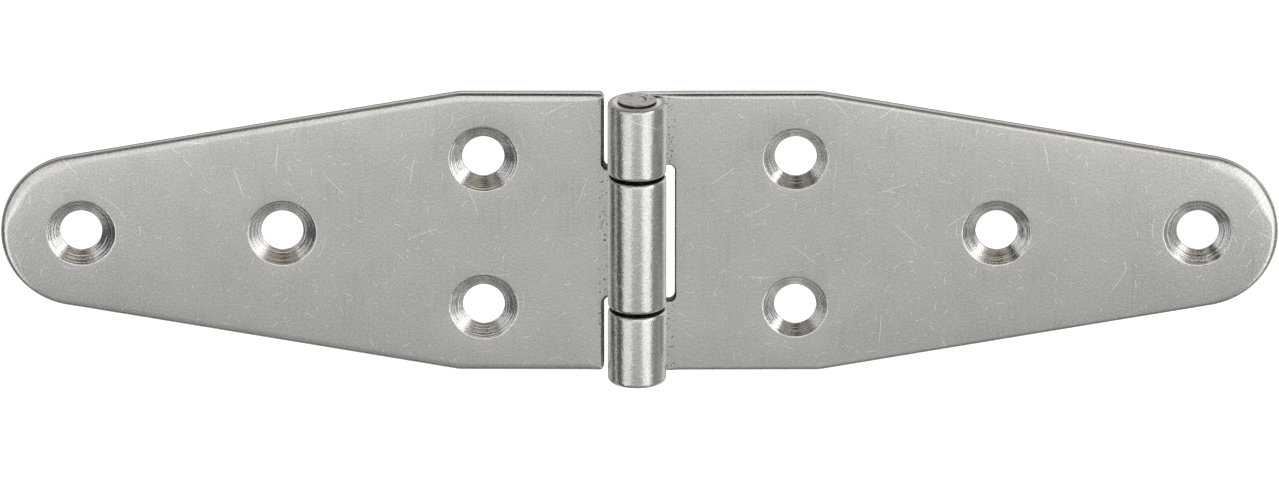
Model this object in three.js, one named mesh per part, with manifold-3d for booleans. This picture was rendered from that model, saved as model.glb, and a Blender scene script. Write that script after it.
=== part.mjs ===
// A stainless steel strap hinge, laid open flat. Each of its two tapered leaves is one stamping from
// sheet, with its inner end rolled into knuckles: one on the left leaf, between two on the right leaf.
// A single pin runs through all three knuckles, and its ends are riveted over into low flat heads.
//
// Millimetres. +Z runs up along the pin, the leaves reach out along -X and +X, and the knuckles stand
// forward of the leaves, towards -Y. The leaves' flat backs face +Y. The origin is halfway up the pin.
import * as THREE from "three";
import { mergeVertices } from "three/addons/utils/BufferGeometryUtils.js";
import Module from "manifold-3d";

const wasm = await Module();
wasm.setup();

// Sheet, pin and knuckles
const SHEET = 1.5;
const PIN_RADIUS = 1.95;
const RUNNING_GAP = 0.05; // all round the pin, inside the knuckles
const BORE_RADIUS = PIN_RADIUS + RUNNING_GAP;
const KNUCKLE_RADIUS = BORE_RADIUS + SHEET;
const KNUCKLE_GAP = 0.45; // between one knuckle's end and the next
const MIDDLE_KNUCKLE_HALF = 8.2;
const ROLL_END_ANGLE = THREE.MathUtils.degToRad(28); // where the cut end stops, short of the leaf

// The leaf is set back a little from the knuckle's circle. The roll starts behind the pin with a wider
// bend, which takes up that difference before the bend tightens to the knuckle's radius.
const SET_BACK = 0.5;
const WIDE_BEND_TURN = THREE.MathUtils.degToRad(50);
const WIDE_BEND_RADIUS = KNUCKLE_RADIUS + SET_BACK / (1 - Math.cos(WIDE_BEND_TURN)); // at the sheet's back
const WIDE_BEND_OUT = SET_BACK / Math.tan(WIDE_BEND_TURN / 2); // where it starts, out from the pin's axis
const LEAF_FRONT = BORE_RADIUS + SET_BACK;
const LEAF_BACK = LEAF_FRONT + SHEET;

// Leaf outline, measured out from the pin's axis
const LEAF_WIDTH = 35.2;
const HALF_WIDTH = LEAF_WIDTH / 2;
const HOLE_PITCH = 24;
const FIRST_HOLE = 18.6; // a pair of holes, one above the other
const TIP_HOLE = FIRST_HOLE + 2 * HOLE_PITCH;
const TIP_RADIUS = 9.55; // round the last hole's centre
const TAPER_START = 21.5;
const NOTCH_EDGE = 4.2; // the leaf's inner edge beside the other leaf's knuckles
const NOTCH_FILLET = 0.75;
const CORNER_RADIUS = 0.7;

// The leaves are stamped alike, but the left one is rolled this much shorter and the right one longer.
const ROLL_DIFFERENCE = 0.3;

// Screw holes, countersunk from the front
const PAIR_HALF_SPACING = 9.4;
const HOLE_RADIUS = 2.5;
const COUNTERSINK_RADIUS = 4.1;
const RIGHT_PAIR_COUNTERSINK_RADIUS = 3.85; // the right leaf's pair is countersunk a little less
const HOLE_LAND = 0.35; // straight wall left at the back of the hole
const HOLE_SIDES = 36;

// Riveted heads of the pin
const HEAD_RADIUS = 2.32;
const HEAD_HEIGHT = 0.3;
const HEAD_CHAMFER = 0.08;
const HEAD_CLEARANCE = 0.05; // under the head, above the knuckle's end
const PIN_SIDES = 48;

const ARC_SEGMENTS = 16;
const OVERRUN = 1; // how far cutting shapes run past what they cut

// A closed three.js geometry as a solid for cutting and joining.
function solid(geometry) {
  const bare = geometry.clone();
  bare.deleteAttribute("normal");
  bare.deleteAttribute("uv");
  const merged = mergeVertices(bare, 1e-4);
  const mesh = new wasm.Mesh({
    numProp: 3,
    vertProperties: merged.getAttribute("position").array,
    triVerts: new Uint32Array(merged.getIndex().array),
  });
  return new wasm.Manifold(mesh);
}

// A cut or joined solid as a three.js geometry.
function geometryOf(body) {
  const mesh = body.getMesh();
  const geometry = new THREE.BufferGeometry();
  geometry.setAttribute("position", new THREE.BufferAttribute(mesh.vertProperties, 3));
  geometry.setIndex(new THREE.BufferAttribute(mesh.triVerts, 1));
  geometry.computeVertexNormals();
  return geometry;
}

// An outline in X and Y, extruded from low to high along Z.
function extrude(shape, low, high) {
  const geometry = new THREE.ExtrudeGeometry(shape, {
    depth: high - low,
    bevelEnabled: false,
    curveSegments: ARC_SEGMENTS,
  });
  geometry.translate(0, 0, low);
  return geometry;
}

// The flat leaf seen along the pin, from where it is bent out to a reach.
function sheetSection(reach) {
  const shape = new THREE.Shape();
  shape.moveTo(reach, LEAF_BACK);
  shape.lineTo(WIDE_BEND_OUT, LEAF_BACK);
  shape.lineTo(WIDE_BEND_OUT, LEAF_FRONT);
  shape.lineTo(reach, LEAF_FRONT);
  return shape;
}

// The rolled knuckle seen along the pin, with a little of the flat leaf, out to a reach. It leaves the
// sheet behind the pin, goes round the far side and the front, and its cut end stops just short of the
// leaf.
function rollSection(reach) {
  const top = Math.PI / 2;
  const tighter = top + WIDE_BEND_TURN;
  const endAngle = 2 * Math.PI + ROLL_END_ANGLE;
  const centre = LEAF_BACK - WIDE_BEND_RADIUS;
  const shape = new THREE.Shape();
  shape.moveTo(reach, LEAF_BACK);
  shape.absarc(WIDE_BEND_OUT, centre, WIDE_BEND_RADIUS, top, tighter, false);
  shape.absarc(0, 0, KNUCKLE_RADIUS, tighter, endAngle, false);
  shape.absarc(0, 0, BORE_RADIUS, endAngle, tighter, true);
  shape.absarc(WIDE_BEND_OUT, centre, WIDE_BEND_RADIUS - SHEET, tighter, top, true);
  shape.lineTo(reach, LEAF_FRONT);
  return shape;
}

// The tapered end of a leaf's outline, from the lower taper corner round the tip to the upper one.
// The flanks run straight from each corner and touch the tip's arc, which is centred on the last hole.
function drawTaperedEnd(shape, shift) {
  const corner = TAPER_START + shift;
  const tip = TIP_HOLE + shift;
  const away = Math.hypot(tip - corner, HALF_WIDTH);
  const slope = Math.atan2(HALF_WIDTH, tip - corner) - Math.asin(TIP_RADIUS / away);
  shape.lineTo(corner, -HALF_WIDTH);
  shape.absarc(tip, 0, TIP_RADIUS, slope - Math.PI / 2, Math.PI / 2 - slope, false);
  shape.lineTo(corner, HALF_WIDTH);
}

// The front view of the leaf with one knuckle: a tab in the middle, and a notch above and below it.
function oneKnuckleOutline(shift) {
  const edge = NOTCH_EDGE + shift;
  const corner = edge + CORNER_RADIUS;
  const tab = MIDDLE_KNUCKLE_HALF;
  const shape = new THREE.Shape();
  shape.moveTo(0, -tab);
  shape.lineTo(edge - NOTCH_FILLET, -tab);
  shape.absarc(edge - NOTCH_FILLET, -tab - NOTCH_FILLET, NOTCH_FILLET, Math.PI / 2, 0, true);
  shape.lineTo(edge, -HALF_WIDTH + CORNER_RADIUS);
  shape.absarc(corner, -HALF_WIDTH + CORNER_RADIUS, CORNER_RADIUS, -Math.PI, -Math.PI / 2, false);
  drawTaperedEnd(shape, shift);
  shape.lineTo(corner, HALF_WIDTH);
  shape.absarc(corner, HALF_WIDTH - CORNER_RADIUS, CORNER_RADIUS, Math.PI / 2, Math.PI, false);
  shape.lineTo(edge, tab + NOTCH_FILLET);
  shape.absarc(edge - NOTCH_FILLET, tab + NOTCH_FILLET, NOTCH_FILLET, 0, -Math.PI / 2, true);
  shape.lineTo(0, tab);
  return shape;
}

// The front view of the leaf with two knuckles: a tab at each edge, and one window between them.
function twoKnuckleOutline(shift) {
  const edge = NOTCH_EDGE + shift;
  const window = MIDDLE_KNUCKLE_HALF + KNUCKLE_GAP;
  const shape = new THREE.Shape();
  shape.moveTo(0, -HALF_WIDTH);
  drawTaperedEnd(shape, shift);
  shape.lineTo(0, HALF_WIDTH);
  shape.lineTo(0, window);
  shape.lineTo(edge - NOTCH_FILLET, window);
  shape.absarc(edge - NOTCH_FILLET, window - NOTCH_FILLET, NOTCH_FILLET, Math.PI / 2, 0, true);
  shape.lineTo(edge, -window + NOTCH_FILLET);
  shape.absarc(edge - NOTCH_FILLET, -window + NOTCH_FILLET, NOTCH_FILLET, 0, -Math.PI / 2, true);
  shape.lineTo(0, -window);
  return shape;
}

// The tool that cuts one screw hole with a countersink of a given radius, centred on the Y axis.
function screwHoleTool(countersink) {
  const slope = (countersink - HOLE_RADIUS) / (SHEET - HOLE_LAND);
  const profile = [
    new THREE.Vector2(0, LEAF_FRONT - OVERRUN),
    new THREE.Vector2(countersink + OVERRUN * slope, LEAF_FRONT - OVERRUN),
    new THREE.Vector2(HOLE_RADIUS, LEAF_BACK - HOLE_LAND),
    new THREE.Vector2(HOLE_RADIUS, LEAF_BACK + OVERRUN),
    new THREE.Vector2(0, LEAF_BACK + OVERRUN),
  ];
  return new THREE.LatheGeometry(profile, HOLE_SIDES);
}

// A leaf's screw holes: distance out from the axis, height and countersink radius.
function screwHoles(shift, pairCountersink) {
  return [
    [FIRST_HOLE + shift, PAIR_HALF_SPACING, pairCountersink],
    [FIRST_HOLE + shift, -PAIR_HALF_SPACING, pairCountersink],
    [FIRST_HOLE + HOLE_PITCH + shift, 0, COUNTERSINK_RADIUS],
    [TIP_HOLE + shift, 0, COUNTERSINK_RADIUS],
  ];
}

// One leaf, reaching out along +X: its flat sheet cut to the outline, the rolled knuckles between each
// pair of heights, and the screw holes.
function leaf(outline, knuckles, shift, pairCountersink) {
  const reach = TIP_HOLE + TIP_RADIUS + shift + OVERRUN;
  const depth = LEAF_BACK + OVERRUN;
  const front = extrude(outline, -depth, depth);
  front.rotateX(Math.PI / 2);
  const sheet = extrude(sheetSection(reach), -HALF_WIDTH - OVERRUN, HALF_WIDTH + OVERRUN);
  let body = solid(sheet).intersect(solid(front));
  for (const [low, high] of knuckles) {
    body = body.add(solid(extrude(rollSection(WIDE_BEND_OUT + OVERRUN), low, high)));
  }
  for (const [out, height, countersink] of screwHoles(shift, pairCountersink)) {
    body = body.subtract(solid(screwHoleTool(countersink).translate(out, 0, height)));
  }
  return geometryOf(body);
}

// The pin: a plain shank with a low riveted head at each end.
function pin() {
  const under = HALF_WIDTH + HEAD_CLEARANCE;
  const top = under + HEAD_HEIGHT;
  const upperHalf = [
    new THREE.Vector2(PIN_RADIUS, under),
    new THREE.Vector2(HEAD_RADIUS, under),
    new THREE.Vector2(HEAD_RADIUS, top - HEAD_CHAMFER),
    new THREE.Vector2(HEAD_RADIUS - HEAD_CHAMFER, top),
    new THREE.Vector2(0, top),
  ];
  const lowerHalf = upperHalf.map((point) => new THREE.Vector2(point.x, -point.y)).reverse();
  const geometry = new THREE.LatheGeometry([...lowerHalf, ...upperHalf], PIN_SIDES);
  geometry.rotateX(Math.PI / 2);
  return geometry;
}

function named(name, geometry, material) {
  const mesh = new THREE.Mesh(geometry, material);
  mesh.name = name;
  return mesh;
}

const leafSteel = new THREE.MeshStandardMaterial({ color: 0xaaa7a0, roughness: 0.38, metalness: 1 });
const pinSteel = new THREE.MeshStandardMaterial({ color: 0xb3afa8, roughness: 0.45, metalness: 1 });

const outerKnuckle = [MIDDLE_KNUCKLE_HALF + KNUCKLE_GAP, HALF_WIDTH];
const middleKnuckle = [-MIDDLE_KNUCKLE_HALF, MIDDLE_KNUCKLE_HALF];

const rightLeaf = named(
  "right_leaf",
  leaf(
    twoKnuckleOutline(ROLL_DIFFERENCE),
    [outerKnuckle, outerKnuckle.map((height) => -height).reverse()],
    ROLL_DIFFERENCE,
    RIGHT_PAIR_COUNTERSINK_RADIUS,
  ),
  leafSteel,
);
const leftLeaf = named(
  "left_leaf",
  leaf(oneKnuckleOutline(-ROLL_DIFFERENCE), [middleKnuckle], -ROLL_DIFFERENCE, COUNTERSINK_RADIUS),
  leafSteel,
);
leftLeaf.rotation.y = Math.PI;
const hingePin = named("hinge_pin", pin(), pinSteel);

const hinge = new THREE.Group();
hinge.add(rightLeaf, leftLeaf, hingePin);

export default hinge;
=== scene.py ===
# A stainless steel strap hinge, laid open flat, in a plain pale studio.
#
# Each leaf is made the way the real one is. A flat blank is drawn in millimetres, with its edges rounded
# over by the punch and its screw holes countersunk, and then the blank is bent: a wide bend first, then
# the roll round the pin. A point of a blank is (out, up, deep): out from the pin's axis along the sheet,
# up along the pin, and deep below the front face. Where out is negative, the point is in the roll.
import math
import random

import bpy
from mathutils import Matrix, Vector, noise
from mathutils.geometry import delaunay_2d_cdt

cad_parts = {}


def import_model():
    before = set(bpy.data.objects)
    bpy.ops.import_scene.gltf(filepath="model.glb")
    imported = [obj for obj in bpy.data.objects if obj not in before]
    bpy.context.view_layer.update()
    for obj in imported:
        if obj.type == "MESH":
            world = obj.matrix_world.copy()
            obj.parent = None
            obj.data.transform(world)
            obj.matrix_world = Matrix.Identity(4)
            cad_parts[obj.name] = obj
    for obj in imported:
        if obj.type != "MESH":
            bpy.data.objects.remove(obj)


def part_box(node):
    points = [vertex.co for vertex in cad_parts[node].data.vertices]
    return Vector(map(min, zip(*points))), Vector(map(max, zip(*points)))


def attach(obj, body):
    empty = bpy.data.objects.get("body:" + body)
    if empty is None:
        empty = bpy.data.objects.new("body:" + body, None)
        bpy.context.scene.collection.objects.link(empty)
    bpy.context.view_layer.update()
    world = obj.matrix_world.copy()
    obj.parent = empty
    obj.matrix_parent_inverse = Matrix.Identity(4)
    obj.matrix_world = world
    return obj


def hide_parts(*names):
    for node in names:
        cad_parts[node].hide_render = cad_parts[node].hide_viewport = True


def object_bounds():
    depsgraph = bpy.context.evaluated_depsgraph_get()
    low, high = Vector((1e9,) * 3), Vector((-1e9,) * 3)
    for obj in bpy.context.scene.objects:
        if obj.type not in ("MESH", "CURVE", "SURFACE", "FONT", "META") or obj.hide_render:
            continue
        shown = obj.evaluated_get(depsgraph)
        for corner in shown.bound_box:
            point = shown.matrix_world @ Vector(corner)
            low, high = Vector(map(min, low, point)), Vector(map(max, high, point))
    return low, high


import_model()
cad_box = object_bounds()
MM = 0.001

# ---------------------------------------------------------------- sizes, in millimetres

_, right_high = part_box("right_leaf")
left_low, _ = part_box("left_leaf")
_, pin_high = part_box("hinge_pin")

SHEET = 1.5
BORE_RADIUS = 2.0
LEAF_BACK = right_high.y / MM
SET_BACK = LEAF_BACK - SHEET - BORE_RADIUS
WIDE_TURN = math.radians(50)
WIDE_OUT = SET_BACK / math.tan(WIDE_TURN / 2)
WIDE_RADIUS = BORE_RADIUS + SET_BACK / (1 - math.cos(WIDE_TURN))
WIDE_LENGTH = (WIDE_RADIUS + SHEET / 2) * WIDE_TURN
ROLL_TURN = math.radians(298)
ROLL_MIDDLE = BORE_RADIUS + SHEET / 2
ROLL_END_OUT = WIDE_OUT - WIDE_LENGTH - (ROLL_TURN - WIDE_TURN) * ROLL_MIDDLE

HALF_WIDTH = right_high.z / MM
KNUCKLE_GAP = 0.45
MIDDLE_KNUCKLE_HALF = 8.2
HOLE_PITCH = 24.0
FIRST_HOLE = 18.6
TIP_HOLE = FIRST_HOLE + 2 * HOLE_PITCH
TIP_RADIUS = 9.55
TAPER_START = 21.5
TAPER_CORNER_RADIUS = 5.0
NOTCH_EDGE = 4.2
NOTCH_FILLET = 0.75
CORNER_RADIUS = 0.7
LOWER_NECK_OUT = 3.7
UPPER_NECK_OUT = 3.4
LOWER_FLANK_GAP = 0.5
RIGHT_SHIFT = right_high.x / MM - TIP_HOLE - TIP_RADIUS
LEFT_SHIFT = -left_low.x / MM - TIP_HOLE - TIP_RADIUS

PAIR_HALF_SPACING = 9.4
HOLE_RADIUS = 2.5
COUNTERSINK_RADIUS = 4.1
RIGHT_PAIR_COUNTERSINK_RADIUS = 3.85
HOLE_LAND = 0.35
RIM_ROUNDING = 0.34
BACK_CHAMFER = 0.05
RING_DEPTH = 0.011
RING_DRIFT = 0.3

PIN_TOP = pin_high.z / MM
PIN_RADIUS = 1.95
HEAD_RADIUS = pin_high.x / MM
HEAD_HEIGHT = 0.3
HEAD_DOME = 0.03
HEAD_ROUNDING = 0.1
HEAD_FOOT_CHAMFER = 0.02
HEAD_FOOT_INSET = 0.12
HEAD_TOP_DEPTH = 0.04
# How deep below a head's top the pin's painted shade starts
HEAD_UNSHADED_DEPTH = 0.11

# Where the hammer folded the head's top over: the fold's radius, half width, depth and direction, in
# radians, and the depth of the dents
FOLD_RADIUS = 1.05
FOLD_HALF_WIDTH = 0.1
FOLD_DEPTH = 0.16
FOLD_DIRECTION = 0.3
DENT_DEPTH = 0.07
DENTS_PER_MM = 1.5

# The rounding of a stamped edge: how far in from the edge the sheet starts to slope, and the radius at
# the edge itself, which starts where the slope has reached the lean
EDGE_LEAN = math.radians(22)
LEFT_FLANK_EDGE = (1.0, 0.56)
RIGHT_FLANK_EDGE = (0.6, 0.52)
UPPER_TIP_EDGE = (1.6, 0.55)
LOWER_TIP_EDGE = (0.8, 0.55)
NOTCH_EDGE_ROUND = (0.5, 0.6)
CORNER_EDGE = (0.4, 0.5)
WINDOW_EDGE = (0.25, 0.3)
TAB_EDGE = (0.12, 0.12)
BURR_EDGE = (0.07, 0.07)
KNUCKLE_END = (0.5, 0.26)
TIP_EDGE_CHANGE = 15

# Painted shade on the sheared edges, from 0 to 1, for the dark gaps and the dark line along notch and
# window: all of it inside the hinge, and most of it in notch and window
HIDDEN_PAINTED_SHADE = 1.0
NOTCH_PAINTED_SHADE = 0.9

# The punch leaves the front slightly crowned: its tilt at the flanks, and where that starts and is whole
CROWN_TILT = 0.07
CROWN_START = 5.0
CROWN_WHOLE = 70.0

# How finely the mesh is cut: counts of steps, and step lengths
SLOPE_STEPS = 3
EDGE_STEPS = 6
RIM_STEPS = 6
CUTTER_RINGS = 30
HOLE_SIDES = 120
BEND_STEPS = 96
FLAT_STEPS = 6
HEAD_STEPS = 24
HEAD_EDGE_STEPS = 5
PIN_SIDES = 96
OUTLINE_STEP = 0.45
ARC_STEP = 0.3
FILLET_STEP = 0.08
TAB_INSET = 1.5
GRID = 1.7
GRID_ROW = 0.87 * GRID
GRID_ROWS = 7
HOLE_CLEARANCE = 0.5
EDGE_CLEARANCE = 0.9

# The stations start this far out on the flat, and stop this far short of the roll's cut end
FLAT_START = 2.9
END_CLEARANCE = 0.8

# The order of a leaf's materials
FACE_STEEL, EDGE_STEEL, HOLE_STEEL = range(3)

# A crease sharper than this is shaded as an edge
LEAF_SHARP = math.radians(32)
PIN_SHARP = math.radians(40)


# ---------------------------------------------------------------- the blank's outline


def line(start, end, step=OUTLINE_STEP):
    """Points from start up to, but not at, end."""
    count = max(1, round(math.dist(start, end) / step))
    return [
        (start[0] + (end[0] - start[0]) * i / count, start[1] + (end[1] - start[1]) * i / count)
        for i in range(count)
    ]


def arc(centre, radius, first, last, step=ARC_STEP):
    """Points round an arc from the first angle up to, but not at, the last, both in degrees."""
    turn = math.radians(last - first)
    count = max(4, round(abs(turn) * radius / step))
    angles = [math.radians(first) + turn * i / count for i in range(count)]
    return [(centre[0] + radius * math.cos(a), centre[1] + radius * math.sin(a)) for a in angles]


def bend_stations():
    """Distances along the sheet, from the flat leaf inwards to the roll's cut end."""
    flat = [WIDE_OUT + (FLAT_START - WIDE_OUT) * i / FLAT_STEPS for i in range(FLAT_STEPS, 0, -1)]
    last = ROLL_END_OUT + END_CLEARANCE
    bends = [WIDE_OUT + (last - WIDE_OUT) * i / BEND_STEPS for i in range(BEND_STEPS + 1)]
    return flat + bends + [ROLL_END_OUT]


class Outline:
    """A closed outline, anticlockwise. Each point has its front and back edge roundings, and its painted
    shade.
    """

    def __init__(self):
        self.points = []
        self.fronts = []
        self.backs = []
        self.painted_shade = []

    def add(self, points, front, back=BURR_EDGE, painted_shade=0.0):
        self.points += points
        self.fronts += [front] * len(points)
        self.backs += [back] * len(points)
        self.painted_shade += [painted_shade] * len(points)

    def smooth(self, reach=2, times=3):
        """Lets each rounding run gradually into the next one."""
        count = len(self.points)
        for _ in range(times):
            for name in ("fronts", "backs"):
                values = getattr(self, name)
                near = [[values[(i + k) % count] for k in range(-reach, reach + 1)] for i in range(count)]
                means = [tuple(sum(v[c] for v in vs) / len(vs) for c in (0, 1)) for vs in near]
                setattr(self, name, means)


def tapered_end(outline, shift, flank):
    """From the lower taper corner round the tip to the upper one."""
    corner, tip = TAPER_START + shift, TIP_HOLE + shift
    away = math.hypot(tip - corner, HALF_WIDTH)
    slope = math.degrees(math.atan2(HALF_WIDTH, tip - corner) - math.asin(TIP_RADIUS / away))
    bend = TAPER_CORNER_RADIUS
    back_off = bend * math.tan(math.radians(slope) / 2)
    centre = corner - back_off
    outline.add(arc((centre, -HALF_WIDTH + bend), bend, -90, -90 + slope), flank)
    lower = arc((centre, -HALF_WIDTH + bend), bend, -90 + slope, 0)[0]
    lower_tip = arc((tip, 0), TIP_RADIUS, slope - 90, TIP_EDGE_CHANGE)
    outline.add(line(lower, lower_tip[0]), flank)
    outline.add(lower_tip, LOWER_TIP_EDGE)
    outline.add(arc((tip, 0), TIP_RADIUS, TIP_EDGE_CHANGE, 90 - slope), UPPER_TIP_EDGE)
    lean = math.radians(slope)
    upper_start = (tip + TIP_RADIUS * math.sin(lean), TIP_RADIUS * math.cos(lean))
    upper = arc((centre, HALF_WIDTH - bend), bend, 90 - slope, 90)
    outline.add(line(upper_start, upper[0]), flank)
    outline.add(upper, flank)
    return centre


def tab_side(outline, height, inwards):
    """One straight side of a knuckle's tab, at the bend stations. Inside the hinge it gets painted shade,
    for the dark gap between knuckles.
    """
    stations = bend_stations()
    run = stations if inwards else stations[::-1]
    # Painted shade on the tab sides inside the hinge, where the gaps between knuckles are dark
    painted_shade = HIDDEN_PAINTED_SHADE if abs(height) < HALF_WIDTH else 0.0
    outline.add([(out, height) for out in run], TAB_EDGE, KNUCKLE_END, painted_shade)


def cut_end(outline, start, end):
    """The roll's cut end, from one height to the next, without the corners, which the tab's sides have."""
    out = bend_stations()[-1]
    points = line((out, start), (out, end))[1:]
    outline.add(points, TAB_EDGE, TAB_EDGE)


def fillet(centre_height, out, first, last):
    """The small arc where a notch or window edge, at this distance out, turns into a knuckle's tab."""
    return arc((out - NOTCH_FILLET, centre_height), NOTCH_FILLET, first, last, FILLET_STEP)


def one_knuckle_outline(shift):
    """The left leaf: one tab in the middle, between two open notches."""
    edge, flank, corner = NOTCH_EDGE + shift, LEFT_FLANK_EDGE, CORNER_RADIUS
    tab, notch_end = MIDDLE_KNUCKLE_HALF, MIDDLE_KNUCKLE_HALF + NOTCH_FILLET
    flank_end = TAPER_START + shift - LOWER_FLANK_GAP
    # The notch edges get painted shade: a dark line along them
    notch = {"front": NOTCH_EDGE_ROUND, "painted_shade": NOTCH_PAINTED_SHADE}
    outline = Outline()
    cut_end(outline, tab, -tab)
    tab_side(outline, -tab, False)
    outline.add(fillet(-notch_end, edge, 90, 0), **notch)
    outline.add(line((edge, -notch_end), (edge, -HALF_WIDTH + corner)), **notch)
    lower_corner = (edge + corner, -HALF_WIDTH + corner)
    outline.add(arc(lower_corner, corner, -180, -90, FILLET_STEP), CORNER_EDGE)
    outline.add(line((edge + corner, -HALF_WIDTH), (flank_end, -HALF_WIDTH)), flank)
    centre = tapered_end(outline, shift, flank)
    outline.add(line((centre, HALF_WIDTH), (edge + corner, HALF_WIDTH)), flank)
    upper_corner = (edge + corner, HALF_WIDTH - corner)
    outline.add(arc(upper_corner, corner, 90, 180, FILLET_STEP), CORNER_EDGE)
    outline.add(line((edge, HALF_WIDTH - corner), (edge, notch_end)), **notch)
    outline.add(fillet(notch_end, edge, 0, -90), **notch)
    tab_side(outline, tab, True)
    outline.smooth()
    return outline


def two_knuckle_outline(shift):
    """The right leaf: two tabs, with a window between them."""
    edge, flank = NOTCH_EDGE + shift, RIGHT_FLANK_EDGE
    window = MIDDLE_KNUCKLE_HALF + KNUCKLE_GAP
    window_end = window - NOTCH_FILLET
    flank_end = TAPER_START + shift - LOWER_FLANK_GAP
    # The window's edges get painted shade: a dark line along them
    rim = {"front": WINDOW_EDGE, "painted_shade": NOTCH_PAINTED_SHADE}
    outline = Outline()
    cut_end(outline, -window, -HALF_WIDTH)
    tab_side(outline, -HALF_WIDTH, False)
    outline.add(line((LOWER_NECK_OUT, -HALF_WIDTH), (flank_end, -HALF_WIDTH)), flank)
    centre = tapered_end(outline, shift, flank)
    outline.add(line((centre, HALF_WIDTH), (UPPER_NECK_OUT, HALF_WIDTH)), flank)
    tab_side(outline, HALF_WIDTH, True)
    cut_end(outline, HALF_WIDTH, window)
    tab_side(outline, window, False)
    outline.add(fillet(window_end, edge, 90, 0), **rim)
    outline.add(line((edge, window_end), (edge, -window_end)), **rim)
    outline.add(fillet(-window_end, edge, 0, -90), **rim)
    tab_side(outline, -window, True)
    outline.smooth()
    return outline


# ---------------------------------------------------------------- from blank to bent leaf


def bent(out, up, deep, side):
    """A blank's point on the bent leaf. side is 1 for the leaf along +X and -1 for the one along -X."""
    along = WIDE_OUT - out
    if along <= 0:
        return Vector((side * out, LEAF_BACK - SHEET + deep, up)) * MM
    if along < WIDE_LENGTH:
        turn = along / (WIDE_RADIUS + SHEET / 2)
        radius, centre = WIDE_RADIUS + deep, (WIDE_OUT, LEAF_BACK - SHEET - WIDE_RADIUS)
    else:
        turn = WIDE_TURN + (along - WIDE_LENGTH) / ROLL_MIDDLE
        radius, centre = BORE_RADIUS + deep, (0.0, 0.0)
    across = centre[0] - radius * math.sin(turn)
    return Vector((side * across, centre[1] + radius * math.cos(turn), up)) * MM


def inward_normals(points):
    """For an anticlockwise outline, each point's unit normal into the sheet."""
    normals = []
    for i, here in enumerate(points):
        before, after = points[i - 1], points[(i + 1) % len(points)]
        first = Vector((here[0] - before[0], here[1] - before[1])).normalized()
        second = Vector((after[0] - here[0], after[1] - here[1])).normalized()
        along = (first + second).normalized()
        widen = 1 / max(0.6, along.dot(first))
        normals.append(Vector((-along.y, along.x)) * widen)
    return normals


def edge_profile(reach, radius):
    """How far in and how deep a rounded edge is, from the flat of the sheet to its side wall."""
    run = max(0.0, reach - radius * (1 - math.sin(EDGE_LEAN)))
    drop = run * math.tan(EDGE_LEAN) / 2
    parts = [step / SLOPE_STEPS for step in range(SLOPE_STEPS)]
    slope = [(reach - run * part, drop * part**2) for part in parts]
    rounding = []
    for step in range(EDGE_STEPS + 1):
        angle = EDGE_LEAN + (math.pi / 2 - EDGE_LEAN) * step / EDGE_STEPS
        deep = drop + radius * (math.cos(EDGE_LEAN) - math.cos(angle))
        rounding.append((radius * (1 - math.sin(angle)), deep))
    return slope + rounding


def edge_rings(outline):
    """Rings of blank points over the stamped edge, from the flat of the front to the flat of the back."""
    normals = inward_normals(outline.points)
    fronts = [edge_profile(*edge) for edge in outline.fronts]
    backs = [edge_profile(*edge)[::-1] for edge in outline.backs]
    rings = []
    for profiles, base, sign in ((fronts, 0.0, 1), (backs, SHEET, -1)):
        for step in range(len(profiles[0])):
            ring = []
            for (out, up), normal, profile in zip(outline.points, normals, profiles):
                inset, deep = profile[step]
                ring.append((out + normal.x * inset, up + normal.y * inset, base + sign * deep))
            rings.append(ring)
    return rings


def crown(out, up, shift):
    """How far below the crown of the front a point of it lies."""
    fade = min(1.0, max(0.0, (out - CROWN_START) / (CROWN_WHOLE - CROWN_START)))
    narrowing = max(0.0, out - TAPER_START - shift) * (HALF_WIDTH - TIP_RADIUS) / (TIP_HOLE - TAPER_START)
    half_width = max(TIP_RADIUS, HALF_WIDTH - narrowing)
    return CROWN_TILT * fade * up**2 / (2 * half_width)


def hole_profile(countersink, chance):
    """Radius and depth of a countersunk hole, from its rim on the front to its edge on the back."""
    cone = math.atan2(SHEET - HOLE_LAND, countersink - HOLE_RADIUS)
    rounding = []
    for step in range(RIM_STEPS + 1):
        angle = cone * step / RIM_STEPS
        inward = RIM_ROUNDING * (math.tan(cone / 2) - math.sin(angle))
        rounding.append((countersink + inward, RIM_ROUNDING * (1 - math.cos(angle))))
    rim_radius, rim_depth = rounding[-1]
    land_depth = SHEET - HOLE_LAND
    wall = []
    for step in range(1, CUTTER_RINGS + 1):
        part = (step + chance.uniform(-RING_DRIFT, RING_DRIFT) * (step < CUTTER_RINGS)) / CUTTER_RINGS
        cut = chance.uniform(-1, 1) * RING_DEPTH * (step < CUTTER_RINGS)
        radius = rim_radius + (HOLE_RADIUS - rim_radius) * part + cut * math.sin(cone)
        wall.append((radius, rim_depth + (land_depth - rim_depth) * part + cut * math.cos(cone)))
    return rounding + wall + [(HOLE_RADIUS, SHEET - BACK_CHAMFER), (HOLE_RADIUS + BACK_CHAMFER, SHEET)]


def screw_holes(shift, pair_countersink):
    """Each screw hole's centre and the radius of its countersink."""
    return [
        ((FIRST_HOLE + shift, PAIR_HALF_SPACING), pair_countersink),
        ((FIRST_HOLE + shift, -PAIR_HALF_SPACING), pair_countersink),
        ((FIRST_HOLE + HOLE_PITCH + shift, 0), COUNTERSINK_RADIUS),
        ((TIP_HOLE + shift, 0), COUNTERSINK_RADIUS),
    ]


def inside(point, ring):
    """Whether a point lies inside a closed ring of points."""
    crossed = False
    for i, (x1, y1) in enumerate(ring):
        x0, y0 = ring[i - 1]
        if (y0 > point[1]) != (y1 > point[1]):
            crossed ^= point[0] < x0 + (x1 - x0) * (point[1] - y0) / (y1 - y0)
    return crossed


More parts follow.
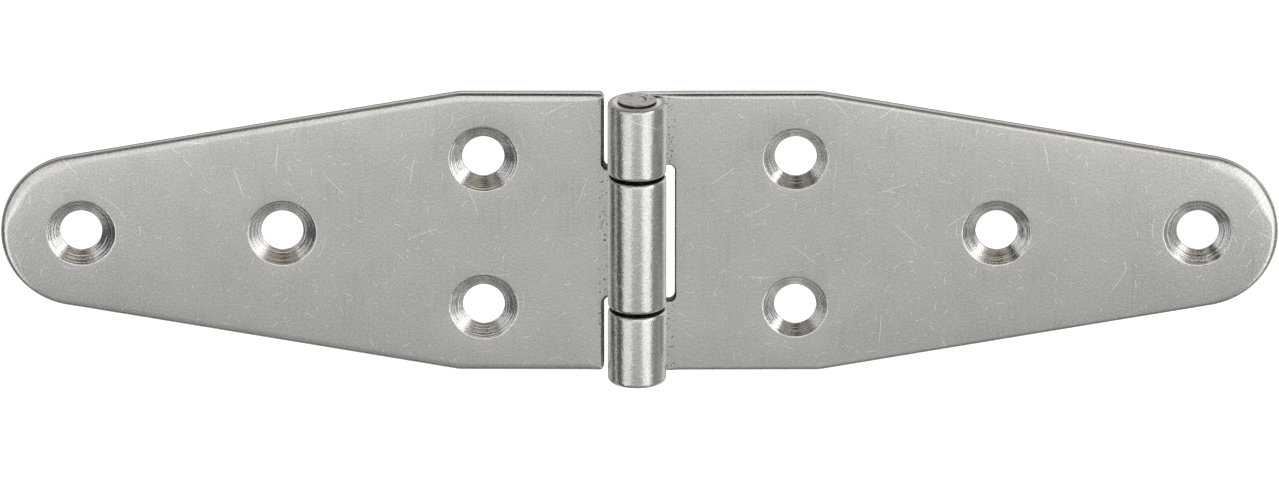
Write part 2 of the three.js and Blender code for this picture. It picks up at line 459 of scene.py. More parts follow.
def fill_points(edge, rims, first_out):
    """A plain grid of points inside a leaf's flat part, clear of its edge and its holes."""
    grid = []
    for column in range(int((TIP_HOLE + TIP_RADIUS) / GRID) + 1):
        for row in range(-GRID_ROWS, GRID_ROWS + 1):
            point = (first_out + GRID * (column + 0.5 * (row % 2)), GRID_ROW * row)
            near_hole = any(math.dist(point, centre) < radius + HOLE_CLEARANCE for centre, radius in rims)
            if near_hole or not inside(point, edge):
                continue
            if min(math.dist(point, other) for other in edge) > EDGE_CLEARANCE:
                grid.append(point)
    return grid


def bend_lines(edge, last_out):
    """Lines straight across a tab at each bend station, so that the sheet bends along them."""
    level = {}
    for i, (out, up) in enumerate(edge):
        if out < last_out:
            level.setdefault(round(out, 4), []).append((up, i))
    lines = []
    for found in level.values():
        found.sort()
        if len(found) % 2 == 0:
            pairs = zip(found[::2], found[1::2])
            lines += [(low, high) for (below, low), (above, high) in pairs if above - below > 1]
    return lines


def flat_triangles(edge, hole_rings, extra, bends):
    """Triangles over a leaf's face, between its edge ring and its hole rings.

    They index the rings' points in order, and then the extra points.
    """
    points, rims = [], []
    for ring in [edge, *hole_rings]:
        start = len(points)
        points += ring
        rims += [(start + i, start + (i + 1) % len(ring)) for i in range(len(ring))]
    points += extra
    made = delaunay_2d_cdt([Vector(p) for p in points], rims + bends, [], 0, 1e-6)
    places, faces, origins = made[0], made[2], made[3]
    if len(places) != len(points):
        raise RuntimeError(f"the outline crosses itself: {len(places)} points from {len(points)}")
    source = [found[0] for found in origins]
    triangles = [[source[i] for i in face] for face in faces]
    sides = {}
    for number, (a, b, c) in enumerate(triangles):
        for pair in ((a, b), (b, c), (c, a)):
            sides.setdefault(frozenset(pair), []).append(number)
    rims = {frozenset(pair) for pair in rims}
    # The face is what can be reached from its middle without crossing a rim.
    middle = (FIRST_HOLE + HOLE_PITCH / 2, 0.0)
    centres = [sum((places[i] for i in face), Vector((0, 0))) / 3 for face in faces]
    start = min(range(len(faces)), key=lambda number: math.dist(centres[number], middle))
    reached, waiting = {start}, [start]
    while waiting:
        a, b, c = triangles[waiting.pop()]
        for pair in ((a, b), (b, c), (c, a)):
            if frozenset(pair) not in rims:
                fresh = [number for number in sides[frozenset(pair)] if number not in reached]
                reached.update(fresh)
                waiting += fresh
    return [triangles[number] for number in sorted(reached)]


class Blank:
    """A leaf's blank as it is built: its points with their painted shade, and its faces with their steels.
    """

    def __init__(self):
        self.points = []
        self.painted_shade = []
        self.faces = []
        self.kinds = []

    def add_ring(self, ring, shade=None):
        start = len(self.points)
        self.points.extend(ring)
        self.painted_shade.extend(shade or [0.0] * len(ring))
        return list(range(start, start + len(ring)))

    def bridge(self, first, second, kind):
        for i in range(len(first)):
            j = (i + 1) % len(first)
            self.faces.append([first[i], first[j], second[j], second[i]])
            self.kinds.append(kind)

    def add_edge(self, outline):
        """The stamped edge all round. Gives its rings at the flat of the front and of the back."""
        rings = []
        wall = SLOPE_STEPS + EDGE_STEPS
        for number, ring in enumerate(edge_rings(outline)):
            # The painted shade goes only on the side wall of the edge
            on_side = SLOPE_STEPS + 1 < number < wall + EDGE_STEPS // 2
            rings.append(self.add_ring(ring, [shade * on_side for shade in outline.painted_shade]))
        for number in range(len(rings) - 1):
            on_wall = wall - 1 <= number <= wall + 1
            self.bridge(rings[number + 1], rings[number], EDGE_STEEL if on_wall else FACE_STEEL)
        return rings[0], rings[-1]

    def add_hole(self, centre, countersink, chance):
        """One screw hole. Gives its rings at the front and at the back."""
        turned = []
        for radius, deep in hole_profile(countersink, chance):
            ring = []
            for i in range(HOLE_SIDES):
                angle = 2 * math.pi * i / HOLE_SIDES
                out, up = centre[0] + radius * math.cos(angle), centre[1] + radius * math.sin(angle)
                ring.append((out, up, deep))
            turned.append(self.add_ring(ring))
        for number in range(len(turned) - 1):
            self.bridge(turned[number], turned[number + 1], HOLE_STEEL)
        return turned[0], turned[-1]

    def fill(self, edge_ids, hole_ids, centres, notch_out, deep):
        """The flat front, or the flat back, between an edge ring and its hole rings."""
        edge = [self.points[i][:2] for i in edge_ids]
        hole_rings = [[self.points[i][:2] for i in ids] for ids in hole_ids]
        rims = [(centre, math.dist(ring[0], centre)) for centre, ring in zip(centres, hole_rings)]
        extra = fill_points(edge, rims, notch_out)
        triangles = flat_triangles(edge, hole_rings, extra, bend_lines(edge, notch_out - TAB_INSET))
        ids = edge_ids + [i for ring in hole_ids for i in ring]
        ids += self.add_ring([(*point, deep) for point in extra])
        for triangle in triangles:
            corners = [ids[i] for i in triangle]
            self.faces.append(corners[::-1] if deep > 0 else corners)
            self.kinds.append(FACE_STEEL)


def store(mesh, name, values):
    """Keeps a number, or a vector's three numbers, for each point of a mesh, for its materials to read."""
    if len(values) == len(mesh.vertices):
        mesh.attributes.new(name, "FLOAT", "POINT").data.foreach_set("value", values)
    else:
        mesh.attributes.new(name, "FLOAT_VECTOR", "POINT").data.foreach_set("vector", values)


def new_object(name, data):
    made = bpy.data.objects.new(name, data)
    bpy.context.scene.collection.objects.link(made)
    return made


def smooth_piece(name, mesh, sharp):
    """An object of a mesh that is shaded smooth, except at creases over the sharp angle."""
    for polygon in mesh.polygons:
        polygon.use_smooth = True
    mesh.set_sharp_from_angle(angle=sharp)
    return new_object(name, mesh)


def leaf_piece(name, outline, holes, shift, side, materials):
    """One leaf as an object: face, edges and holes of the blank, bent into place."""
    blank = Blank()
    chance = random.Random(name)
    centres = [centre for centre, _ in holes]
    front, back = blank.add_edge(outline)
    rings = [blank.add_hole(centre, countersink, chance) for centre, countersink in holes]
    blank.fill(front, [first for first, _ in rings], centres, NOTCH_EDGE + shift, 0.0)
    blank.fill(back, [last for _, last in rings], centres, NOTCH_EDGE + shift, SHEET)
    placed, sheet, from_hole = [], [], []
    for out, up, deep in blank.points:
        crowned = deep + crown(out, up, shift) * (1 - deep / SHEET)
        placed.append(bent(out, up, crowned, side))
        hole = min(centres, key=lambda centre: math.dist(centre, (out, up)))
        sheet += (side * out, up, deep)
        from_hole += (side * (out - hole[0]), up - hole[1], deep)
    mesh = bpy.data.meshes.new(name)
    mesh.from_pydata(placed, [], blank.faces if side > 0 else [face[::-1] for face in blank.faces])
    mesh.update()
    store(mesh, "sheet", sheet)
    store(mesh, "from_hole", from_hole)
    store(mesh, "painted_shade", blank.painted_shade)
    store(mesh, "out", [out for out, _, _ in blank.points])
    for material in materials:
        mesh.materials.append(material)
    for polygon, kind in zip(mesh.polygons, blank.kinds):
        polygon.material_index = kind
    return smooth_piece(name, mesh, LEAF_SHARP)


# ---------------------------------------------------------------- the pin


def pin_profile():
    """Radius and height from the middle of the top head down to the middle of the pin."""
    top, head = PIN_TOP, HEAD_RADIUS
    under = top - HEAD_HEIGHT
    parts = [step / HEAD_STEPS for step in range(1, HEAD_STEPS - 1)]
    dome = [(head * part, top - HEAD_DOME * part**4) for part in parts]
    rim = []
    for step in range(HEAD_EDGE_STEPS + 1):
        angle = math.pi / 2 * step / HEAD_EDGE_STEPS
        radius = head - HEAD_ROUNDING * (1 - math.sin(angle))
        rim.append((radius, top - HEAD_DOME - HEAD_ROUNDING * (1 - math.cos(angle))))
    foot = [(head - HEAD_FOOT_CHAMFER, under + HEAD_FOOT_CHAMFER), (head - HEAD_FOOT_INSET, under)]
    return dome + rim + foot + [(PIN_RADIUS, under), (PIN_RADIUS, 0)]


def hammered(x, y, height):
    """How far the riveting has moved a point of a head's top, in millimetres."""
    ring = math.exp(-(((math.hypot(x, y) - FOLD_RADIUS) / FOLD_HALF_WIDTH) ** 2))
    facing = max(0.0, math.cos(math.atan2(y, x) - FOLD_DIRECTION))
    dents = DENT_DEPTH * noise.noise(Vector((x * DENTS_PER_MM, y * DENTS_PER_MM, height)))
    return dents - FOLD_DEPTH * ring * facing**2


def pin_point(x, y, height):
    """A point of the pin. On the top of a head, it is moved as the hammer left it."""
    lift = hammered(x, y, height) if abs(height) > PIN_TOP - HEAD_TOP_DEPTH else 0.0
    return Vector((x, y, height + lift * math.copysign(1, height))) * MM


def pin_piece(name, material):
    half = pin_profile()
    rows = half + [(radius, -height) for radius, height in reversed(half[:-1])]
    points, faces = [], []
    for radius, height in rows:
        for i in range(PIN_SIDES):
            angle = 2 * math.pi * i / PIN_SIDES
            points.append(pin_point(radius * math.cos(angle), radius * math.sin(angle), height))
    for row in range(len(rows) - 1):
        above, below = row * PIN_SIDES, (row + 1) * PIN_SIDES
        for i in range(PIN_SIDES):
            j = (i + 1) % PIN_SIDES
            faces.append([above + i, below + i, below + j, above + j])
    for height, start, flip in ((PIN_TOP, 0, False), (-PIN_TOP, (len(rows) - 1) * PIN_SIDES, True)):
        points.append(pin_point(0.0, 0.0, height))
        middle = len(points) - 1
        for i in range(PIN_SIDES):
            j = (i + 1) % PIN_SIDES
            faces.append([middle, start + j, start + i] if flip else [middle, start + i, start + j])
    mesh = bpy.data.meshes.new(name)
    mesh.from_pydata(points, [], faces)
    mesh.update()
    mesh.materials.append(material)
    # Painted shade: the pin is darkened below the top of each head, on the head's side and on the shank
    # inside the knuckles
    shaded_below = (PIN_TOP - HEAD_UNSHADED_DEPTH) * MM
    store(mesh, "painted_shade", [0.0 if abs(point.z) > shaded_below else HIDDEN_PAINTED_SHADE for point in points])
    return smooth_piece(name, mesh, PIN_SHARP)


# ---------------------------------------------------------------- material helpers


def sine(degrees):
    return math.sin(math.radians(degrees))


def grey(level):
    """A grey as warm as the studio's, as red, green, blue and alpha."""
    return (level, level * 0.992, level * 0.97, 1)


class Nodes:
    """Short calls for building the nodes of a material or of the world."""

    def __init__(self, tree):
        self.tree = tree

    def make(self, kind, inputs=(), **settings):
        node = self.tree.nodes.new(kind)
        for name, value in settings.items():
            setattr(node, name, value)
        for key, value in dict(inputs).items():
            self.feed(node.inputs[key], value)
        return node

    def feed(self, socket, value):
        if isinstance(value, bpy.types.NodeSocket):
            self.tree.links.new(value, socket)
        else:
            socket.default_value = value

    def math(self, operation, first, second=0.0):
        return self.make("ShaderNodeMath", {0: first, 1: second}, operation=operation).outputs[0]

    def times(self, *values):
        product = values[0]
        for value in values[1:]:
            product = self.math("MULTIPLY", product, value)
        return product

    def plus(self, *values):
        total = values[0]
        for value in values[1:]:
            total = self.math("ADD", total, value)
        return total

    def off(self, value, middle):
        """How far a value is from a middle one, either way."""
        return self.math("ABSOLUTE", self.math("SUBTRACT", value, middle))

    def attribute(self, name, output="Vector"):
        return self.make("ShaderNodeAttribute", attribute_name=name).outputs[output]

    def length(self, vector):
        return self.make("ShaderNodeVectorMath", {0: vector}, operation="LENGTH").outputs["Value"]

    def vector_math(self, operation, first, second=(0, 0, 0)):
        return self.make("ShaderNodeVectorMath", {0: first, 1: second}, operation=operation).outputs[0]

    def stretch(self, vector, by):
        return self.vector_math("MULTIPLY", vector, by)

    def noise(self, vector, scale, detail=2.0, rough=0.5):
        inputs = {"Vector": vector, "Scale": scale, "Detail": detail, "Roughness": rough}
        return self.make("ShaderNodeTexNoise", inputs).outputs[0]

    def span(self, value, low, high, to_low=0.0, to_high=1.0):
        """Maps low..high to to_low..to_high, smoothly and clamped."""
        inputs = {0: value, 1: low, 2: high, 3: to_low, 4: to_high}
        node = self.make("ShaderNodeMapRange", inputs, interpolation_type="SMOOTHSTEP", clamp=True)
        return node.outputs[0]

    def mix_colour(self, amount, first, second):
        node = self.make("ShaderNodeMix", {0: amount, 6: first, 7: second}, data_type="RGBA")
        return node.outputs[2]

    def bump(self, height, distance):
        inputs = {"Height": height, "Distance": distance, "Strength": 1.0}
        return self.make("ShaderNodeBump", inputs).outputs[0]


def new_material(name):
    material = bpy.data.materials.new(name)
    material.use_nodes = True
    tree = material.node_tree
    tree.nodes.clear()
    nodes = Nodes(tree)
    shader = nodes.make("ShaderNodeBsdfPrincipled", {"Metallic": 1.0})
    output = nodes.make("ShaderNodeOutputMaterial")
    tree.links.new(shader.outputs[0], output.inputs["Surface"])
    return material, nodes, shader


def hairlines(nodes, place, cell, length, width, share, bow, shift):
    """Bowed scratches, at most one to a cell, each at its own angle: 1 on a scratch and 0 off it."""
    moved = nodes.vector_math("ADD", place, (shift, shift * 0.7, 0))
    inputs = {"Vector": moved, "Scale": 1 / cell}
    cells = nodes.make("ShaderNodeTexVoronoi", inputs, voronoi_dimensions="2D")
    chance = nodes.make("ShaderNodeSeparateColor", {0: cells.outputs["Color"]}).outputs
    from_middle = nodes.vector_math("SUBTRACT", moved, cells.outputs["Position"])
    inputs = {"Vector": from_middle, "Angle": nodes.times(chance[0], math.tau)}
    turned = nodes.make("ShaderNodeVectorRotate", inputs, rotation_type="Z_AXIS")
    along, beside, _ = nodes.make("ShaderNodeSeparateXYZ", {0: turned.outputs[0]}).outputs
    curve = nodes.times(nodes.math("SUBTRACT", chance[1], 0.5), bow * 2)
    off_line = nodes.off(beside, nodes.times(curve, nodes.times(along, along)))
    on_line = nodes.span(off_line, width * 0.3, width, 1.0, 0.0)
    ends = nodes.span(nodes.math("ABSOLUTE", along), length * 0.25, length * 0.5, 1.0, 0.0)
    chosen = nodes.math("LESS_THAN", chance[2], share)
    return nodes.times(on_line, ends, chosen)


def chip_arcs(nodes, place):
    """Faint arcs that chips scratched round some of the screw holes."""
    radius = nodes.length(nodes.stretch(nodes.attribute("from_hole"), (1, 1, 0)))
    wander = nodes.span(nodes.noise(place, 0.12, 0.0), 0.3, 0.7, *CHIP_ARC_RADII)
    on_arc = nodes.span(nodes.off(radius, wander), 0.01, 0.035, 1.0, 0.0)
    here = nodes.span(nodes.noise(place, 0.3, 1.0), 0.56, 0.6)
    return nodes.times(on_arc, here)


# ---------------------------------------------------------------- steels

# Scratches on the sheet, in millimetres: the size of a cell, a scratch's length and width, the share of
# cells that have one, how far it bows, and an offset that keeps the three sets apart
SCRATCHES = [
    (1.2, 0.6, 0.05, 0.13, 0.4, 0.0),
    (2.4, 1.3, 0.055, 0.18, 0.2, 31.0),
    (8.0, 4.5, 0.06, 0.4, 0.04, 77.0),
]
CHIP_ARC_RADII = (4.6, 5.8)
PIT_LINE_OUT = 4.0

# How far each finish rises and falls, in metres
SHEET_BUMP = 0.000018
EDGE_BUMP = 0.000014
COUNTERSINK_BUMP = 0.000017
PIN_BUMP = 0.000018

STEEL = (0.60, 0.592, 0.568, 1)
# A near black: real dark pits, burr and torn folds, and also the painted shade of edges, gaps and pin
GRIME_AND_SHADE = (0.05, 0.046, 0.04, 1)
STEEL_DARK = (0.50, 0.49, 0.465, 1)
STEEL_LIGHT = (0.78, 0.775, 0.76, 1)
STEEL_TORN = (0.42, 0.41, 0.39, 1)
STEEL_BRIGHT = (0.95, 0.95, 0.94, 1)
STEEL_WARM = (0.62, 0.57, 0.49, 1)


def finish_steel(nodes, shader, place, colour, rough, height, distance):
    """Feeds a steel's colour, roughness and bump, with painted shade, darker and rougher, where points are
    marked for it.
    """
    painted_shade = nodes.attribute("painted_shade", "Fac")
    # Painted shade, in patches, darkens the colour where points are marked for it, and the steel is
    # rougher there
    patchy_shade = nodes.times(painted_shade, nodes.span(nodes.noise(place, 1.5), 0.2, 0.6, 0.7, 1.0))
    nodes.feed(shader.inputs["Base Color"], nodes.mix_colour(patchy_shade, colour, GRIME_AND_SHADE))
    nodes.feed(shader.inputs["Roughness"], nodes.plus(rough, nodes.times(painted_shade, 0.3)))
    nodes.feed(shader.inputs["Normal"], nodes.bump(height, distance))


def scratched(nodes, place):
    """Where the sheet is scratched, from 0 to 1."""
    scratch = chip_arcs(nodes, place)
    for sizes in SCRATCHES:
        scratch = nodes.math("MAXIMUM", scratch, hairlines(nodes, place, *sizes))
    return scratch


def pitted(nodes, place, out):
    """Small dark pits, in a line beside the roll."""
    beside_roll = nodes.span(nodes.off(out, PIT_LINE_OUT), 0.3, 0.8, 1.0, 0.0)
    return nodes.times(nodes.span(nodes.noise(place, 3.0, 1.0), 0.62, 0.68), beside_roll)


def sheet_colour(nodes, place, fine, scratch, pits):
    """Soft mottling and upright mill marks, with light and dark specks, bright scratches and dark pits."""
    cloud = nodes.noise(place, 0.14, 3.0, 0.55)
    mill = nodes.noise(nodes.stretch(place, (4.0, 0.12, 1.0)), 1.0, 3.0, 0.6)
    milled = nodes.times(nodes.span(mill, 0.5, 0.66, 0.0, 0.42), nodes.span(cloud, 0.44, 0.62))
    colour = STEEL
    for amount, steel in (
        (nodes.span(cloud, 0.3, 0.7, 0.0, 0.35), STEEL_DARK),
        (nodes.span(fine, 0.36, 0.68, 0.0, 0.58), STEEL_LIGHT),
        (nodes.span(fine, 0.42, 0.3, 0.0, 0.3), STEEL_DARK),
        (milled, STEEL_DARK),
        (nodes.times(scratch, 0.75), STEEL_BRIGHT),
        (nodes.times(pits, 0.8), GRIME_AND_SHADE),
    ):
        colour = nodes.mix_colour(amount, colour, steel)
    return colour


def sheet_height(nodes, place, out, grain, fine, scratch):
    """The grain, coarser on the roll, with the scratches cut in and wear round the middle knuckle."""
    rolled = nodes.span(out, -0.5, 1.5, 1.0, 0.0)
    coarser = nodes.plus(nodes.times(rolled, 0.4), 1.0)
    up = nodes.make("ShaderNodeSeparateXYZ", {0: place}).outputs[1]
    mid_height = nodes.span(nodes.math("ABSOLUTE", up), 1.8, 3.0, 1.0, 0.0)
    around = nodes.noise(nodes.stretch(place, (0.25, 5.0, 1.0)), 1.0, 2.0)
    height = nodes.times(nodes.plus(grain, nodes.times(fine, 0.25)), coarser)
    height = nodes.math("SUBTRACT", height, nodes.times(scratch, 0.15))
    return nodes.plus(height, nodes.times(around, mid_height, rolled, 0.5))


def sheet_steel():
    """Tumbled stainless sheet: fine grain, soft mottling and hairline scratches every way."""
    material, nodes, shader = new_material("tumbled_stainless")
    place = nodes.attribute("sheet")
    out = nodes.attribute("out", "Fac")
    grain = nodes.noise(place, 3.6, 3.0, 0.65)
    fine = nodes.noise(place, 4.2, 2.0, 0.7)
    scratch = scratched(nodes, place)
    colour = sheet_colour(nodes, place, fine, scratch, pitted(nodes, place, out))
    rough = nodes.plus(nodes.span(grain, 0.3, 0.7, 0.17, 0.25), nodes.times(scratch, 0.1))
    height = sheet_height(nodes, place, out, grain, fine, scratch)
    finish_steel(nodes, shader, place, colour, rough, height, SHEET_BUMP)
    return material


def sheared_steel():
    """The stamped edge: bright where the punch went in, torn and streaked below, dark at the burr."""
    material, nodes, shader = new_material("sheared_edge_stainless")
    place = nodes.attribute("sheet")
    streaks = nodes.noise(nodes.stretch(place, (5.0, 5.0, 0.35)), 1.0, 3.0, 0.6)
    grain = nodes.noise(place, 4.0, 2.0, 0.6)
    deep = nodes.make("ShaderNodeSeparateXYZ", {0: place}).outputs[2]
    torn = nodes.span(nodes.plus(deep, nodes.times(streaks, 0.4)), 0.9, 1.3)
    colour = nodes.mix_colour(nodes.span(streaks, 0.35, 0.65), STEEL_LIGHT, STEEL_BRIGHT)
    colour = nodes.mix_colour(torn, colour, STEEL_TORN)
    colour = nodes.mix_colour(nodes.span(deep, 1.3, 1.48, 0.0, 0.55), colour, GRIME_AND_SHADE)
    rough = nodes.span(grain, 0.3, 0.7, 0.3, 0.42)
    height = nodes.plus(streaks, nodes.times(grain, 0.4))
    finish_steel(nodes, shader, place, colour, rough, height, EDGE_BUMP)
    return material


def countersink_steel():
    """The drilled cone of a screw hole: bright, with the cutter's fine rings, different in each hole."""
    material, nodes, shader = new_material("countersink_stainless")
    place = nodes.attribute("sheet")
    radius = nodes.length(nodes.stretch(nodes.attribute("from_hole"), (1, 1, 0)))
    by_hole = nodes.make("ShaderNodeCombineXYZ", {0: radius, 1: nodes.noise(place, 0.05, 0.0)})
    rings = nodes.noise(nodes.stretch(by_hole.outputs[0], (1, 30, 0)), 9.0, 3.0, 0.7)
    chatter = nodes.noise(nodes.stretch(place, (1, 1, 0)), 4.0, 3.0, 0.6)
    colour = nodes.mix_colour(nodes.span(rings, 0.38, 0.58), STEEL_TORN, STEEL_LIGHT)
    rough = nodes.span(chatter, 0.3, 0.7, 0.08, 0.16)
    height = nodes.plus(rings, nodes.times(chatter, 0.2))
    finish_steel(nodes, shader, place, colour, rough, height, COUNTERSINK_BUMP)
    return material


def pin_steel():
    """Drawn stainless wire: a hammered grain on the riveted heads, with torn folds and warm patches."""
    material, nodes, shader = new_material("riveted_pin_stainless")
    metres = nodes.make("ShaderNodeTexCoord").outputs["Object"]
    place = nodes.stretch(metres, (1 / MM, 1 / MM, 1 / MM))
    grain = nodes.noise(place, 3.0, 4.0, 0.7)
    dents = nodes.noise(place, 0.9, 2.0, 0.5)
    fold = nodes.span(nodes.off(nodes.noise(place, 0.75, 2.0, 0.6), 0.5), 0.0, 0.025, 1.0, 0.0)
    torn = nodes.times(fold, nodes.span(dents, 0.44, 0.56))
    colour = nodes.mix_colour(nodes.span(grain, 0.35, 0.65), STEEL_TORN, STEEL)
    colour = nodes.mix_colour(nodes.span(dents, 0.48, 0.62, 0.0, 0.8), colour, STEEL_WARM)
    colour = nodes.mix_colour(nodes.times(torn, 0.75), colour, GRIME_AND_SHADE)
    rough = nodes.span(grain, 0.3, 0.7, 0.25, 0.36)
    height = nodes.plus(grain, nodes.times(dents, 3.5))
    height = nodes.math("SUBTRACT", height, nodes.times(torn, 1.5))
    finish_steel(nodes, shader, place, colour, rough, height, PIN_BUMP)
    return material


# ---------------------------------------------------------------- studio

VIEW_ELEVATION = 20.5
VIEW_AIM_HEIGHT = 0.1 * MM
VIEW_DISTANCE = 1.692
LENS = 400.0
SENSOR = 36.0

FLOOR_HALF = 3.0
FLOOR_HEIGHT = -0.3

# What the steel mirrors in front of it: a colour at each elevation, in degrees
FRONT_STOPS = [
    (-75, grey(0.12)),
    (-55, grey(0.4)),
    (-33, grey(0.45)),
    (-24, grey(0.565)),
    (-16, grey(0.75)),
    (-10, grey(0.85)),
    (-8, grey(0.45)),
    (37, grey(0.45)),
    (42, (0.42, 0.35, 0.27, 1)),
    (52, (0.38, 0.32, 0.26, 1)),
    (61, grey(0.04)),
]
STREAK = (0.03, 0.03, 0.03, 1)
LEFT_SIDE = (0.1, 0.1, 0.1, 1)
RIGHT_SIDE = (0.33, 0.325, 0.315, 1)
LAMP = (1.5, 1.5, 1.48, 1)
WHITE = (1, 1, 1, 1)


def camera(target):
    data = bpy.data.cameras.new("camera")
    data.sensor_width = SENSOR
    data.lens = LENS
    data.clip_start = 0.05
    data.clip_end = 50
    data.dof.use_dof = False
    elevation = math.radians(VIEW_ELEVATION)
    holder = new_object("camera", data)
    holder.location = target + Vector((0, -math.cos(elevation), math.sin(elevation))) * VIEW_DISTANCE
    holder.rotation_euler = (math.radians(90 - VIEW_ELEVATION), 0, 0)
    bpy.context.scene.camera = holder


def softbox(name, centre, size, aim, brightness):
    """A flat rectangular light of an even brightness, seen only by the steel and not by the camera."""
    data = bpy.data.lights.new(name, "AREA")
    data.shape = "RECTANGLE"
    data.size, data.size_y = size
    data.energy = brightness * 4 * size[0] * size[1]
    light = new_object(name, data)
    light.location = centre
    light.rotation_euler = (Vector(aim) - Vector(centre)).to_track_quat("-Z", "Y").to_euler()
    light.visible_camera = False


def softboxes():
    """Two on each side, low and high, and one in the middle, all in front of the hinge. In metres."""
    for name, x, low, high in (("right", 0.17, 0.85, 0.93), ("left", -0.17, 0.8, 0.6)):
        softbox(f"{name}_low_softbox", (x, -0.275, -0.12), (0.33, 0.18), (0.0, -0.275, -0.12), low)
        softbox(f"{name}_high_softbox", (x, -0.255, 0.045), (0.37, 0.15), (0.0, -0.255, 0.045), high)
    softbox("front_softbox", (0.0, -0.42, 0.13), (0.30, 0.36), (0.0, -0.1, 0.13), 0.55)


def heights(nodes, up, stops):
    """A colour for each elevation, blended between stops of (degrees, colour)."""
    node = nodes.make("ShaderNodeValToRGB", {0: nodes.times(nodes.plus(up, 1.0), 0.5)})
    ramp = node.color_ramp
    while len(ramp.elements) < len(stops):
        ramp.elements.new(0.5)
    for element, (degrees, colour) in zip(ramp.elements, stops):
        element.position = (sine(degrees) + 1) / 2
        element.color = colour
    return node.outputs[0]


def band(nodes, value, low, high):
    """1 where a value is between two others and 0 elsewhere, with soft ends."""
    soft = 0.04
    rise = nodes.span(value, low, low + soft)
    return nodes.times(rise, nodes.span(value, high - soft, high, 1.0, 0.0))


def strip(nodes, ahead, middle, strength):
    """An upright strip of a wall, at this much ahead."""
    return nodes.span(nodes.off(ahead, middle), 0.03, 0.07, strength, 0.0)


def in_front(nodes, across, aside, up):
    """The wall in front, with a dark streak in its brown part and a dim ceiling to each side."""
    colour = heights(nodes, up, FRONT_STOPS)
    streak = nodes.times(nodes.span(up, sine(38), sine(42)), band(nodes, across, -0.24, -0.02))
    colour = nodes.mix_colour(streak, colour, STREAK)
    ceiling = nodes.times(nodes.span(up, sine(50), sine(58)), nodes.span(aside, 0.08, 0.2))
    return nodes.mix_colour(ceiling, colour, grey(0.26))


def mirrored(nodes, direction):
    """What the steel mirrors: brown above the front, dim sides with a strip each, and pale behind."""
    across, ahead, up = nodes.make("ShaderNodeSeparateXYZ", {0: direction}).outputs
    aside = nodes.math("ABSOLUTE", across)
    sides = nodes.mix_colour(nodes.span(across, -0.3, 0.3), LEFT_SIDE, RIGHT_SIDE)
    reach = nodes.span(up, 0.5, 0.65, 0.4, 0.58)
    front_share = nodes.span(nodes.math("SUBTRACT", aside, reach), -0.1, 0.1, 1.0, 0.0)
    colour = nodes.mix_colour(front_share, sides, in_front(nodes, across, aside, up))
    right_strip = nodes.times(strip(nodes, ahead, 0.15, 0.5), nodes.span(across, 0.6, 0.7))
    colour = nodes.mix_colour(right_strip, colour, grey(0.8))
    left_strip = nodes.times(strip(nodes, ahead, 0.03, 1.0), nodes.span(across, -0.7, -0.6, 1.0, 0.0))
    colour = nodes.mix_colour(left_strip, colour, grey(1.1))
    dimmer = nodes.times(nodes.span(aside, 0.1, 0.2), nodes.span(across, 0.4, 0.6, 1.0, 0.0))
    behind = nodes.mix_colour(dimmer, grey(0.8), grey(0.5))
    under = nodes.plus(ahead, nodes.span(up, -0.8, -0.5, 0.42, 0.0))
    colour = nodes.mix_colour(nodes.span(under, 0.34, 0.46), colour, behind)
    lamp = nodes.times(band(nodes, across, 0.66, 0.88), band(nodes, up, 0.28, 0.58))
    lamp = nodes.times(lamp, nodes.span(ahead, -0.1, 0.0, 1.0, 0.0))
    return nodes.mix_colour(lamp, colour, LAMP)


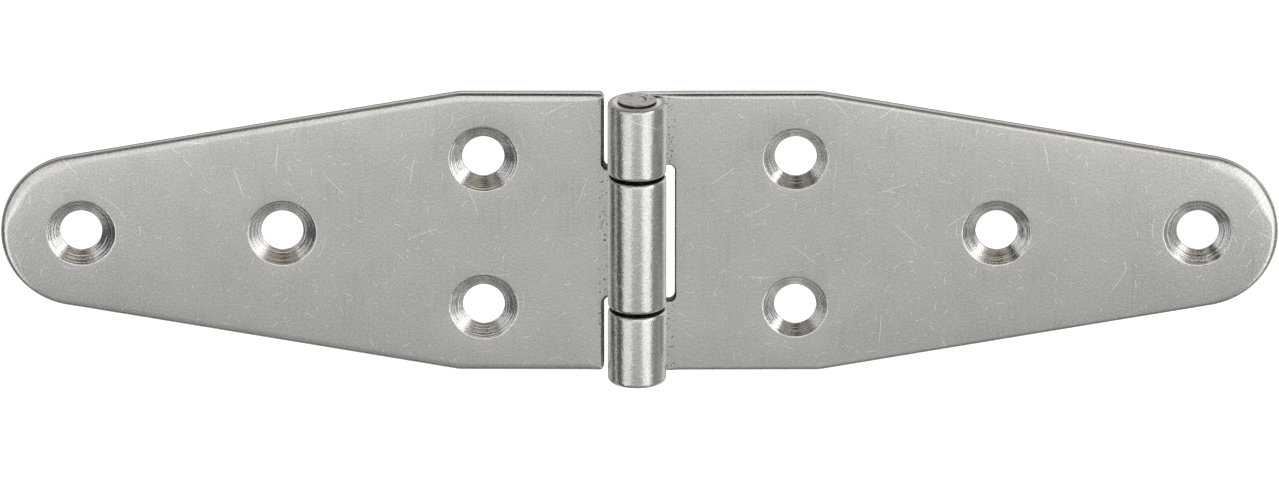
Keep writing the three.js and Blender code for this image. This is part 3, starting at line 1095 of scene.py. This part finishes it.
def world():
    """White for the camera, and what the steel mirrors for everything else."""
    made = bpy.data.worlds.new("studio")
    bpy.context.scene.world = made
    made.use_nodes = True
    made.node_tree.nodes.clear()
    nodes = Nodes(made.node_tree)
    direction = nodes.make("ShaderNodeTexCoord").outputs["Generated"]
    seen = nodes.make("ShaderNodeBackground", {"Color": WHITE, "Strength": 1.0})
    lit = nodes.make("ShaderNodeBackground", {"Color": mirrored(nodes, direction), "Strength": 1.0})
    from_camera = nodes.make("ShaderNodeLightPath").outputs["Is Camera Ray"]
    mix = nodes.make("ShaderNodeMixShader", {0: from_camera, 1: lit.outputs[0], 2: seen.outputs[0]})
    output = nodes.make("ShaderNodeOutputWorld")
    made.node_tree.links.new(mix.outputs[0], output.inputs["Surface"])


def floor():
    mesh = bpy.data.meshes.new("floor")
    ends = ((-1, -1), (1, -1), (1, 1), (-1, 1))
    corners = [(FLOOR_HALF * x, FLOOR_HALF * y, FLOOR_HEIGHT) for x, y in ends]
    mesh.from_pydata(corners, [], [[0, 1, 2, 3]])
    material, _, shader = new_material("pale_floor")
    shader.inputs["Metallic"].default_value = 0.0
    shader.inputs["Base Color"].default_value = (0.9, 0.9, 0.9, 1)
    shader.inputs["Roughness"].default_value = 0.9
    shader.inputs["Emission Color"].default_value = WHITE
    shader.inputs["Emission Strength"].default_value = 0.9
    mesh.materials.append(material)
    plane = new_object("floor", mesh)
    plane.visible_glossy = False


def studio():
    world()
    floor()
    softboxes()
    scene = bpy.context.scene
    scene.view_settings.view_transform = "Standard"
    scene.view_settings.look = "None"
    scene.view_settings.exposure = 0.0


# ---------------------------------------------------------------- the hinge


def hinge():
    steels = (sheet_steel(), sheared_steel(), countersink_steel())
    outline = one_knuckle_outline(LEFT_SHIFT)
    holes = screw_holes(LEFT_SHIFT, COUNTERSINK_RADIUS)
    left = leaf_piece("left_leaf_stamping", outline, holes, LEFT_SHIFT, -1, steels)
    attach(left, "swinging_leaf")
    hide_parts("left_leaf")
    outline = two_knuckle_outline(RIGHT_SHIFT)
    holes = screw_holes(RIGHT_SHIFT, RIGHT_PAIR_COUNTERSINK_RADIUS)
    right = leaf_piece("right_leaf_stamping", outline, holes, RIGHT_SHIFT, 1, steels)
    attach(right, "fixed_leaf")
    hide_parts("right_leaf")
    pin = pin_piece("riveted_pin", pin_steel())
    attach(pin, "fixed_leaf")
    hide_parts("hinge_pin")


hinge()
studio()
middle = (cad_box[0] + cad_box[1]) / 2
camera(Vector((middle.x, 0, VIEW_AIM_HEIGHT)))
